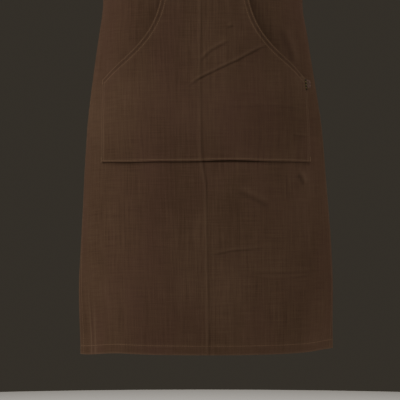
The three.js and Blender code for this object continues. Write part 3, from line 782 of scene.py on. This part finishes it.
# %% Pocket
pocket_rows = rows_of((POCKET_FOOT, 455, 3.4, (380, 394, 2.0)), (455, 600, 2.1),
                      (600, POCKET_TOP, 3.0))
pocket_share = marks(-1, 1, 1 / 62, (-0.05, 0.05, 1 / 160))
pocket_across = POCKET_SHIFT + pocket_share[None, :] * half_pocket(pocket_rows)[:, None]
pocket_height = pocket_rows[:, None] + foot_wave(pocket_across) * (
    1 - smooth_step((pocket_rows[:, None] - POCKET_FOOT) / 30))
pocket = lay("pocket", pocket_across, pocket_height, pocket_lift, pocket_tone, "pocket_panel")
pocket_trim = [facing(f"opening_binding_{side}", f"pocket_facing_{side}", half_pocket,
                      np.linspace(POCKET_SHOULDER, POCKET_TOP - FACING, 52), sign, pocket_lift,
                      -LAYER, POCKET_SHIFT) for side, sign in SIGNS.items()]
top_height = np.linspace(POCKET_TOP - FACING + GAP, POCKET_TOP, 4)[:, None]
top_across = POCKET_SHIFT + np.linspace(-1, 1, 40)[None, :] * (half_pocket(top_height) - FACING)
pocket_trim.append(lay("pocket_hem", top_across, top_height, pocket_lift, PLAIN,
                       "pocket_top_hem", -LAYER))
print("pocket", pocket_across.shape, "faces", len(pocket.data.polygons))

# %% [markdown]
# A topstitch is a short length of thread that rises from one needle hole and sinks into the
# next. One stitch is modelled from a sphere and then copied along each seam, each copy turned
# to follow the cloth. The copies of one seam make one piece, so a seam can be picked as a whole.

# %% Stitching
THREAD, PITCH = 0.75, 3.4
STITCH_LENGTH = PITCH * 0.84

deselect()
bpy.ops.mesh.primitive_uv_sphere_add(segments=6, ring_count=5, radius=0.5)
stitch_model = bpy.context.object
bpy.ops.object.mode_set(mode="EDIT")
bpy.ops.mesh.select_all(action="SELECT")
bpy.ops.transform.rotate(value=math.radians(90), orient_axis="Y", center_override=(0, 0, 0))
bpy.ops.transform.resize(value=(STITCH_LENGTH, THREAD, THREAD * 0.8))
bpy.ops.object.mode_set(mode="OBJECT")
STITCH_POINTS = np.array([v.co for v in stitch_model.data.vertices])
STITCH_FACES = [tuple(p.vertices) for p in stitch_model.data.polygons]
bpy.data.objects.remove(stitch_model)


def copies(name, centres, along, outward, material, size=(1, 1, 1)):
    """One piece from copies of the stitch, each at a centre and turned along the seam."""
    along = unit(along - outward * (along * outward).sum(-1, keepdims=True))
    beside = np.cross(outward, along)
    frame_axes = np.stack([along * size[0], beside * size[1], outward * size[2]], axis=1)
    points = centres[:, None, :] + np.einsum("vk,nkc->nvc", STITCH_POINTS, frame_axes)
    count = len(STITCH_POINTS)
    faces = [tuple(i + n * count for i in f) for n in range(len(centres)) for f in STITCH_FACES]
    mesh = bpy.data.meshes.new(name)
    mesh.from_pydata((points.reshape(-1, 3) * MM).tolist(), [], faces)
    mesh.materials.append(material)
    mesh.shade_smooth()
    piece = add_object(name, mesh)
    return settle(piece)


def evenly(points):
    """Middles of equal steps of about a pitch along points, with the direction at each."""
    run = run_along(points)
    count = max(1, int(run[-1] / PITCH))
    place = (np.arange(count) + 0.5) * run[-1] / count
    before, middle, after = (sample(points, run, place + shift) for shift in (-0.4, 0, 0.4))
    return middle, unit(after - before)


def seam(name, lines, lift, side=1):
    """Stitches along lines of (across, height), on the outside or the inside of a cloth."""
    found = []
    for line in lines:
        run = run_along(line)
        across, height = sample(line, run, np.linspace(0, run[-1], max(2, int(run[-1] / 1.5)))).T
        points, normal = surface(across, height, lift, side * (CANVAS / 2 + 0.12))
        where, direction = evenly(np.concatenate([points, normal], axis=1))
        found.append((where[:, :3], direction[:, :3], unit(where[:, 3:]) * side))
    centres, along, outward = (np.concatenate(part) for part in zip(*found))
    return copies(name, centres, along, outward, tan_thread)


body_stitching = []
for part, lines in BODY_SEAMS.items():
    body_stitching.append(seam(f"stitching_{part}", lines, 0.0))
    extra = GAP if part.startswith("armhole") else 0
    body_stitching.append(seam(f"stitching_{part}_inside", lines, -LAYER - extra, side=-1))
pocket_stitching = [seam(f"stitching_pocket_{part}", lines, pocket_lift)
                    for part, lines in POCKET_SEAMS.items()]
print("stitched seams", len(body_stitching) + len(pocket_stitching))

# %% [markdown]
# A bar tack is a short dense zigzag that stops a corner from tearing. Each one here is a stack
# of thread bars. The tack at the foot of the right hand opening is the apron's one accent: four
# black knots with a lime thread showing between them, beside a small tab with no print.

# %% Bar tacks and tab
TACK_WIDTH, TACK_LENGTH, TACK_EDGE = 2.2, 9, POCKET_HALF - GAP
ACCENT_WIDTH, ACCENT_KNOTS, ACCENT_PITCH, KNOT_HEIGHT = 6.2, 4, 5.3, 3.7
TAN = (tan_thread, "light_thread")


def bar_tack(name, across_limits, height_limits, material, slot, node, upright=True):
    """Thread bars across a narrow patch of the pocket. An upright patch has level bars."""
    (x0, x1), (h0, h1) = sorted(POCKET_SHIFT + x for x in across_limits), height_limits
    count = max(3, int(((h1 - h0) if upright else (x1 - x0)) / THREAD))
    share = (np.arange(count) + 0.5) / count
    across = np.full(count, (x0 + x1) / 2) if upright else x0 + (x1 - x0) * share
    height = h0 + (h1 - h0) * share if upright else np.full(count, (h0 + h1) / 2)
    level = pocket_lift(across, height)
    centres, outward = surface(across, height, level, CANVAS / 2 + 0.45)
    ahead, _ = surface(across + upright, height + (not upright), level, CANVAS / 2 + 0.4)
    length = ((x1 - x0) if upright else (h1 - h0)) / STITCH_LENGTH
    made = copies(name, centres, unit(ahead - centres), outward, material,
                  (length, 1.15, 1.1))
    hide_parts(node)
    return made


tacks = []
for side, sign in SIGNS.items():
    tacks.append(bar_tack(f"tack_foot_{side}", (sign * (TACK_EDGE - TACK_WIDTH), sign * TACK_EDGE),
                          (POCKET_FOOT + GAP, POCKET_FOOT + TACK_LENGTH), *TAN,
                          f"foot_tack_{side}"))
    tacks.append(bar_tack(f"tack_top_{side}", (sign * 66.7, sign * 75.7),
                          (POCKET_TOP - GAP - TACK_WIDTH, POCKET_TOP - GAP), *TAN,
                          f"top_tack_{side}", upright=False))
tacks.append(bar_tack("tack_opening_left", (-TACK_EDGE, TACK_WIDTH - TACK_EDGE),
                      (POCKET_SHOULDER - TACK_LENGTH, POCKET_SHOULDER - GAP), *TAN,
                      "opening_tack_left"))
for k in range(ACCENT_KNOTS):
    high = POCKET_SHOULDER - GAP - k * ACCENT_PITCH
    inner = TACK_EDGE - ACCENT_WIDTH
    tacks.append(bar_tack(f"tack_knot_{k + 1}", (inner, TACK_EDGE), (high - KNOT_HEIGHT, high),
                          black_thread, "dark_thread", "opening_tack_right"))
    if k < ACCENT_KNOTS - 1:
        tacks.append(bar_tack(f"tack_thread_{k + 1}", (inner + 1.0, TACK_EDGE - 1.6),
                              (high - ACCENT_PITCH + 0.1, high - KNOT_HEIGHT - 0.1), lime_thread,
                              "light_thread", "opening_tack_right"))

TAB_SIZE = 14
tab_from, tab_top = POCKET_SHIFT + POCKET_HALF + 2 * GAP, POCKET_SHOULDER - 2 * GAP
tab_across, tab_height = np.meshgrid(np.linspace(tab_from, tab_from + TAB_SIZE, 13),
                                     np.linspace(tab_top - TAB_SIZE, tab_top, 13))
curl = 0.9 * ((tab_across - tab_from) / TAB_SIZE) ** 2
pocket_trim.append(lay("blank_tab", tab_across, tab_height, LAYER + curl, PLAIN, "corner_tab",
                       material=tab_cloth, slot="label", thickness=0.7))
print("tacks", len(tacks))

# %% [markdown]
# The straps are flat ribbons that follow a path in space. At each station of the path the
# ribbon has a point, the way its face looks, and a width. The path is resampled evenly, the
# ribbon is crowned slightly across, and thickness comes from Solidify as for any cloth.

# %% Ribbons
RIBBON_STEP, RIBBON_CROWN = 3.0, 0.15


def ribbon(name, stations, width, thickness, material, slot, node, body=ROOT):
    """A strap along (point, normal, width) stations. Returns the piece and its length in mm."""
    points = np.array([s[0] for s in stations], float)
    normals = unit(np.array([s[1] for s in stations], float))
    widths = np.array([s[2] if len(s) > 2 else width for s in stations], float)
    run = run_along(points)
    even = np.linspace(0, run[-1], int(run[-1] / RIBBON_STEP) + 2)
    place = np.unique(np.concatenate([run, even]))
    place = place[np.concatenate([[True], np.diff(place) > 0.25])]
    path, outward = sample(points, run, place), unit(sample(normals, run, place))
    along = unit(np.gradient(path, axis=0))
    right = unit(np.cross(along, outward))
    level = unit(np.cross(right, along))
    share = np.linspace(-1, 1, 9)[None, :]
    beside = share * np.interp(place, run, widths)[:, None] / 2
    bulge = RIBBON_CROWN * (1 - share**2) + 0.12 * ripple(beside * 3, place[:, None], 17, 8)
    middle = (path[:, None, :] + right[:, None, :] * beside[..., None]
              + level[:, None, :] * bulge[..., None])
    uv = np.stack([beside, np.broadcast_to(place[:, None], beside.shape)], axis=-1)
    tone = np.zeros((*beside.shape, 2))
    tone[..., 0] = 0.35 * np.abs(share) ** 6 + 0.06
    piece = settle(cloth_piece(name, middle, uv, tone, thickness, material), node, body=body)
    return piece, run[-1]


def catmull_rom(keys, count):
    """A smooth path through keys, with the pull of each key set by the distance to the next."""
    keys = np.array(keys, float)
    padded = np.vstack([2 * keys[0] - keys[1], keys, 2 * keys[-1] - keys[-2]])
    out = []
    for t in np.linspace(0, len(keys) - 1, count):
        i = min(int(t), len(keys) - 2)
        w = t - i
        p0, p1, p2, p3 = padded[i:i + 4]
        d0, d1, d2 = (max(np.linalg.norm(b - a) ** 0.5, 1e-4)
                      for a, b in ((p0, p1), (p1, p2), (p2, p3)))
        t1 = ((p1 - p0) / d0 - (p2 - p0) / (d0 + d1) + (p2 - p1) / d1) * d1
        t2 = ((p2 - p1) / d1 - (p3 - p1) / (d1 + d2) + (p3 - p2) / d2) * d1
        out.append(p1 + t1 * w + (-3 * p1 + 3 * p2 - 2 * t1 - t2) * w**2
                   + (2 * p1 - 2 * p2 + t1 + t2) * w**3)
    return np.array(out)


print("ribbon helper ready")

# %% [markdown]
# The neck strap is one length of webbing. It is sewn behind the left corner of the bib, goes
# over both shoulders, and comes down through a brass ring that a short tab holds at the right
# corner. The end turns back up and is sewn round the middle bar of the slider, which sets the
# length. The ring and the slider are the CAD frame's own wire shapes and only need brass.

# %% Neck strap
STRAP_WIDTH, STRAP_THICKNESS, WIRE = 25, 1.6, 3
STRAP_AT = HALF_BIB - 25
STRAP_LIFT = -(LAYER + CANVAS / 2 + 0.8 + STRAP_THICKNESS / 2)
STRAP_OVERLAP, STRAP_STRAIGHT = 46, 118
RING_ABOVE, BAR_ABOVE, SLIDER_ABOVE = 12, 27, 80
WRAP = WIRE / 2 + GAP + STRAP_THICKNESS / 2
SETTLED = GAP + STRAP_THICKNESS


def on_cloth_at(across, height, lift):
    points, normal = surface(np.array([float(across)]), np.array([float(height)]), lift)
    return points[0], normal[0]


def on_straight(sign, above, out=0.0):
    """A point of the strap's front stretch, and the way out from the body there."""
    if above < 0:
        return on_cloth_at(sign * STRAP_AT, BIB_TOP + above, STRAP_LIFT + out)
    level = unit(cloth_normal(sign * STRAP_AT, BIB_TOP) * [1, 1, 0])
    point = cloth_point(sign * STRAP_AT, BIB_TOP) + level * (STRAP_LIFT + out)
    return point + [0, 0, above], level


def turn_round(sign, bar_above, up, steps=10):
    """The strap's turn round a wire. up is 1 for a turn over the wire's top."""
    turn = []
    for k in range(steps + 1):
        angle = math.pi * k / steps
        point, normal = on_straight(sign, bar_above + up * WRAP * math.sin(angle),
                                    WRAP * (math.cos(angle) - 1))
        turn.append((point, normal * math.cos(angle) + np.array([0, 0, up * math.sin(angle)])))
    return turn


SHOULDER_ROUTE = [((101, -166, -62), (0.32, -0.72, 0.62)), ((90, -128, -38), (0.38, -0.36, 0.85)),
                  ((77, -84, -22), (0.58, -0.04, 0.81)), ((62, -44, -11), (0.8, 0.22, 0.55)),
                  ((43, -15, -3), (0.64, 0.72, 0.27)), ((20, STRAP_THICKNESS / 2, 0), (0, 1, 0)),
                  ((0, STRAP_THICKNESS / 2, 0), (0, 1, 0))]


def shoulder(sign):
    """Stations from the straight stretch up to the nape."""
    mirror = np.array([sign, 1, 1])
    keys = [on_straight(sign, STRAP_STRAIGHT - 15), on_straight(sign, STRAP_STRAIGHT)]
    keys += [(np.array(p) * mirror, np.array(n) * mirror) for p, n in SHOULDER_ROUTE]
    count = 8 * (len(keys) - 1) + 1
    points = catmull_rom([k[0] for k in keys], count)
    normals = catmull_rom([k[1] for k in keys], count)
    return list(zip(points, normals))[8:]


def flipped(station):
    return (station[0], -station[1], *station[2:])


def sewn_run(sign):
    """The stretch that is sewn behind the bib, from its lower end."""
    return [on_straight(sign, above) for above in np.linspace(-STRAP_OVERLAP, 0, 8)]


WEBBING = (STRAP_WIDTH, STRAP_THICKNESS, webbing, "webbing")
END_ABOVE = BAR_ABOVE + 12
right_run = shoulder(1)[::-1][1:] + [on_straight(1, BAR_ABOVE + 8)]
strap_end = flipped(on_straight(1, END_ABOVE, -SETTLED - GAP))
neck_strap, neck_length = ribbon(
    "neck_webbing", sewn_run(-1) + shoulder(-1) + right_run + turn_round(1, BAR_ABOVE, -1)
    + [strap_end], *WEBBING, "neck_strap")

slider_out = -SETTLED - GAP - WRAP
out_way = on_straight(1, 0)[1]
over_bar = [(p + out_way * (slider_out + WRAP), n) for p, n in turn_round(1, SLIDER_ABOVE, 1)]
return_foot = on_straight(1, END_ABOVE + 2 * GAP, -SETTLED - GAP)
return_end = flipped(on_straight(1, SLIDER_ABOVE - 12, slider_out - WRAP))
points_up = [return_foot] + over_bar + [return_end]

tab_back = [flipped(on_straight(1, above, -SETTLED - GAP))
            for above in np.linspace(-6, -STRAP_OVERLAP, 7)]
ring_tab, ring_tab_length = ribbon("ring_webbing", sewn_run(1) + turn_round(1, RING_ABOVE, 1)
                                   + tab_back, *WEBBING, "ring_tab")
for node in ("strap_ring", "neck_slider"):
    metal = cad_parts[node]
    for material_slot in metal.material_slots:
        material_slot.material = brass
    if not metal.material_slots:
        metal.data.materials.append(brass)
print("neck strap", round(float(neck_length)), "mm, ring tab", round(float(ring_tab_length)), "mm")

# %% [markdown]
# The last stretch of webbing is sewn to the slider, so it grows longer or shorter as the slider
# moves along the strap. Here it runs from the apron at its foot round the slider's bar, and it is
# taken off the apron's body with its place baked into its mesh.

# %% The stretch of webbing that the slider draws
deselect()
strap_return, return_length = ribbon("neck_webbing_return", points_up, *WEBBING,
                                     "neck_strap_return")
foot_point, bar_point = points_up[0][0] * MM, on_straight(1, SLIDER_ABOVE - 14, slider_out)[0] * MM
world = strap_return.matrix_world.copy()
strap_return.parent = None
strap_return.matrix_world = world
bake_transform(strap_return)
print("return", round(float(return_length)), "mm")

# %% [markdown]
# The waist ties are sewn behind the side hems. Each leads round to the back and narrows where
# it is drawn into the knot. The bow's loops are the same strap folded back on itself, and the
# two tails hang below, free to swing.

# %% Waist ties and bow
TIE_WIDTH, TIE_THICKNESS, TIE_SEWN, TIE_PULL = 28, 1.8, 38, 84
LOOP_REACH, LOOP_SAG, LOOP_FOLD, LOOP_STEPS = 95, 34, 5, 20
TAIL_LENGTH, TAIL_BACK = {"left": 296, "right": 268}, {"left": -8.5, "right": -5}
TAIL_WIDTHS = [(-30, TIE_WIDTH), (-5, 9), (3, 5)]  # width at heights above the pivot
TIE_LIFT = -(LAYER + CANVAS / 2 + 0.8 + TIE_THICKNESS / 2)
KNOT_SIZE = np.array([34, 26, 36], float)
KNOT_PINCH = 0.55
knot_centre = np.array([float(at_height(CENTRE_LINE, TIE_HEIGHT)),
                        float(at_height(FRONT_LINE, TIE_HEIGHT)) + 240, HEM_Z + TIE_HEIGHT])


def knot_reach(half_size, back):
    """Half a size of the knot, at a distance before or behind its middle."""
    return half_size * math.sqrt(1 - (back / (KNOT_SIZE[1] / 2)) ** 2)


def waist_tie(sign):
    """From the sewn end behind the hem, round the waist and into the knot."""
    sewn = [on_cloth_at(sign * (HALF_SKIRT - TIE_SEWN + TIE_SEWN * k / 8), TIE_HEIGHT, TIE_LIFT)
            for k in range(9)]
    edge, normal = sewn[-1]
    heading = np.array([-normal[1] * sign, normal[0] * sign, 0])
    into = TIE_THICKNESS - KNOT_SIZE[1] / 4
    reach = knot_reach(KNOT_SIZE[0] / 2, into + TIE_THICKNESS / 2) - 3
    end = knot_centre + [sign * reach, into, 0]
    a, b, c, d = edge, edge + heading * TIE_PULL, end + [sign * TIE_PULL, 0, 0], end
    stations = []
    for t in np.linspace(0, 1, 41)[1:]:
        point = (1 - t)**3 * a + 3 * (1 - t)**2 * t * b + 3 * (1 - t) * t**2 * c + t**3 * d
        along = (1 - t)**2 * (b - a) + 2 * (1 - t) * t * (c - b) + t**2 * (d - c)
        width = TIE_WIDTH * (1 + (KNOT_PINCH - 1) * float(smooth_step(2 * t - 1)))
        stations.append((point, np.array([along[1] * sign, -along[0] * sign, 0]), width))
    return [(*s, TIE_WIDTH) for s in sewn] + stations


def bow_loop(sign):
    """Out from the knot, folded back and in again behind."""
    start = knot_centre + [sign * (KNOT_SIZE[0] / 2 - 3), 2, 0]
    stations = []

    def push(share, back, nx, ny):
        point = start + [sign * LOOP_REACH * share, back, -LOOP_SAG * max(share, 0)**1.5]
        width = TIE_WIDTH * (KNOT_PINCH + (1 - KNOT_PINCH) * float(smooth_step(share * 2)))
        stations.append((point, (nx * sign, ny, 0), width))

    shares = [k / LOOP_STEPS for k in range(LOOP_STEPS + 1)]
    for s in shares:
        push(s, -3.2 * math.sin(math.pi * s), 0, -1)
    for angle in (math.pi * k / 8 for k in range(1, 8)):
        push(1 + LOOP_FOLD * math.sin(angle) / LOOP_REACH, LOOP_FOLD * (1 - math.cos(angle)),
             math.sin(angle), -math.cos(angle))
    for s in shares[::-1]:
        push(s, 2 * LOOP_FOLD + 3.2 * math.sin(math.pi * s), 0, 1)
    return stations


def tail(side):
    """Straight down from the point where it swings, and narrow there."""
    back = TAIL_BACK[side]
    pivot = knot_centre + [6 * SIGNS[side], back, -knot_reach(KNOT_SIZE[2] / 2, back) - 4]
    return [(pivot + [0, 0, up], (0, -1, 0), float(np.interp(up, *zip(*TAIL_WIDTHS))))
            for up in np.linspace(-TAIL_LENGTH[side], 3, 60)]


ties, soft_lengths = [], {}
for side, sign in SIGNS.items():
    for name, stations, node, home in (
            (f"waist_strap_{side}", waist_tie(sign), f"waist_tie_{side}", ROOT),
            (f"bow_strap_{side}", bow_loop(sign), f"bow_loop_{side}", ROOT),
            (f"hanging_strap_{side}", tail(side), f"tie_tail_{side}", f"tail_{side}")):
        piece, length = ribbon(name, stations, TIE_WIDTH, TIE_THICKNESS, canvas, "canvas", node,
                               home)
        ties.append(piece)
        soft_lengths[name] = float(length)
        print(name, round(float(length)), "mm")

# %% [markdown]
# The knot is the two straps wrapped round each other and drawn tight. It starts as a sphere
# pressed to the knot's size. Each point is then moved in or out of it, so that three slanting
# rolls of cloth go round it with a hollow between each, and it narrows where the straps enter.

# %% Knot
deselect()
bpy.ops.mesh.primitive_uv_sphere_add(segments=64, ring_count=40, radius=0.5 * MM)
knot = bpy.context.object
knot.name = "bow_knot_cloth"
co = np.array([v.co for v in knot.data.vertices]) / (0.5 * MM)  # on a ball of radius 1
slant = co[:, 0] + 0.42 * co[:, 2] + 0.12 * np.sin(3 * co[:, 1])
roll = np.abs(np.sin(math.pi * (1.45 * slant + 0.5))) ** 0.55
fine_wrinkle = 0.012 * np.sin(26 * co[:, 2] + 9 * co[:, 0]) * np.cos(7 * co[:, 1])
swell = 0.80 + 0.19 * roll + fine_wrinkle
where = knot_centre + co * swell[:, None] * KNOT_SIZE / 2
for vertex, place in zip(knot.data.vertices, where * MM):
    vertex.co = place
knot.data.update()
knot.data.uv_layers[0].name = "cloth"
set_uv(knot.data, "cloth",
       np.stack([np.arctan2(co[:, 0], -co[:, 1]) * 16, co[:, 2] * 18], axis=-1) * MM)
# The crests of the rolls fade, and painted shade fills the hollows between them.
set_uv(knot.data, "tone", np.stack([0.25 * roll**3, 0.75 * (1 - roll)], axis=-1))
knot.data.materials.append(canvas)
knot.data.shade_smooth()
settle(knot, "bow_knot")
print("knot faces", len(knot.data.polygons))

# %% [markdown]
# The area of the pocket as it was cut is worked out from its outline.

# %% The pocket's cut area
heights = np.linspace(POCKET_FOOT, POCKET_TOP, 400)
pocket_area = float(np.trapz(2 * half_pocket(heights), heights)) * MM * MM
trim + body_stitching
pocket_trim + pocket_stitching + tacks

# %% [markdown]
# The studio is a pale round floor, well below the hem, with large soft lamps. The key lamp stands
# to the left and in front and is a little higher than the apron, which brightens the left side
# and leaves a fine shadow under the pocket. A wider, weaker lamp fills the right, and two more
# stand behind and keep the back of the apron readable.

# %% Floor and lights
deselect()
bpy.ops.mesh.primitive_circle_add(radius=3.9, vertices=96, fill_type="NGON",
                                  location=(0, 0, -1.62))
floor = bpy.context.object
floor.name = "studio_floor"
floor_finish = Finish("pale_floor")
for socket, value in (("Base Color", (0.52, 0.51, 0.49, 1)), ("Roughness", 0.85)):
    floor_finish.feed(floor_finish.shader.inputs[socket], value)
floor.data.materials.append(floor_finish.material)
floor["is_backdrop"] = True


LAMP_AIM = np.array((0, -0.15, -0.75))
LAMPS = [("key", (-2.9, -1.95, 0.7), (1.3, 1.6), 88, (1.0, 0.95, 0.88)),
         ("fill", (2.95, -1.85, 0.1), (2.2, 2.2), 50, (1.0, 0.96, 0.9)),
         ("back_left", (-1.3, 3.1, 0.6), (1.8, 1.8), 80, (1.0, 0.96, 0.9)),
         ("back_right", (1.3, 3.1, 0.6), (1.8, 1.8), 80, (1.0, 0.96, 0.9))]
for name, place, size, power, colour in LAMPS:
    data = bpy.data.lights.new(name, "AREA")
    data.shape, data.size, data.size_y = "RECTANGLE", *size
    data.energy, data.color = power, colour
    lamp = add_object(name, data)
    away = np.array(place) - LAMP_AIM
    lamp.location = place
    lamp.rotation_euler = (math.atan2(math.hypot(away[0], away[1]), away[2]), 0,
                           math.atan2(away[0], -away[1]))
world = bpy.data.worlds.new("studio")
bpy.context.scene.world = world
world.use_nodes = True
background = world.node_tree.nodes["Background"]
background.inputs["Color"].default_value = (0.042, 0.037, 0.029, 1)
background.inputs["Strength"].default_value = 1.0

# %% [markdown]
# Last, the finished model's box is printed.

# %% Size and finish
low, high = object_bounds()
print("box", [round(h - l, 4) for l, h in zip(low, high)])
